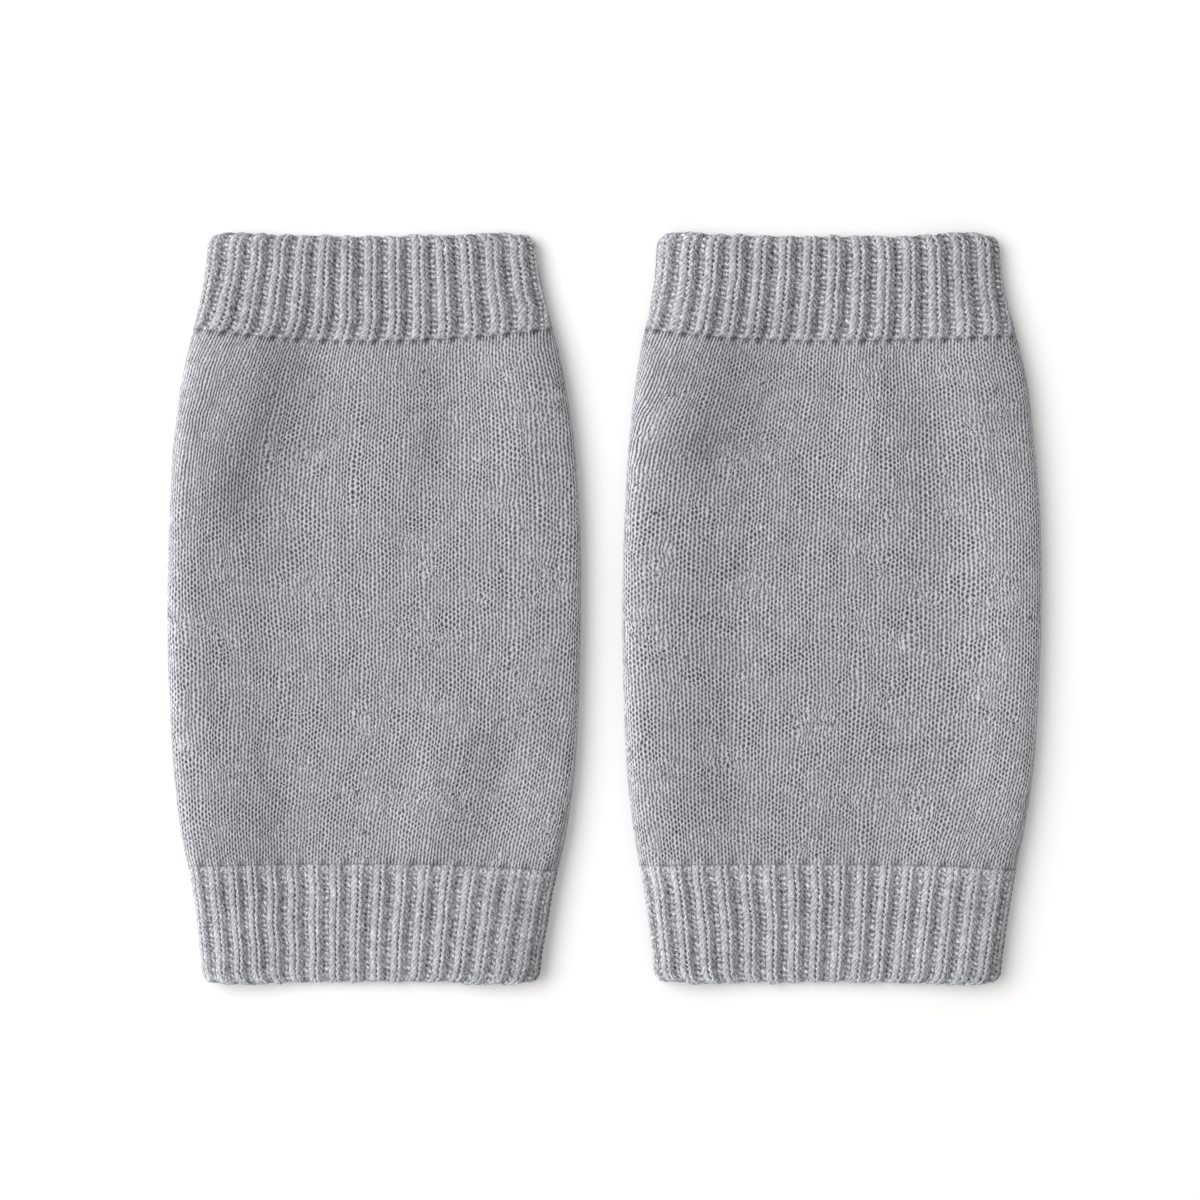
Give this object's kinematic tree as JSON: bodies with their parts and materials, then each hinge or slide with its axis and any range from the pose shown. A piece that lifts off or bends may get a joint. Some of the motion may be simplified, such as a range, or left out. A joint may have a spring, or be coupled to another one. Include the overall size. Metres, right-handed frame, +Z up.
{
  "type": "pair of baby knee pads",
  "caption": "Pair of knitted tube knee pads for a baby, laid flat: plain-knit bodies between ribbed thigh and calf cuffs.",
  "frame": {"origin": "on the surface the pair lies on, under the middle of the pair", "axes": "+X to the right across both pads, +Y along the pads to the thigh cuffs, +Z up through the two layers"},
  "size_m": [0.1896, 0.1631, 0.0052],
  "materials": {
    "plain_knit": "matte",
    "rib_knit": "matte"
  },
  "bodies": {
    "root": {"left_thigh_cuff": "rib_knit", "left_body": "plain_knit", "left_calf_cuff": "rib_knit", "right_thigh_cuff": "rib_knit", "right_body": "plain_knit", "right_calf_cuff": "rib_knit"}
  },
  "joints": []
}
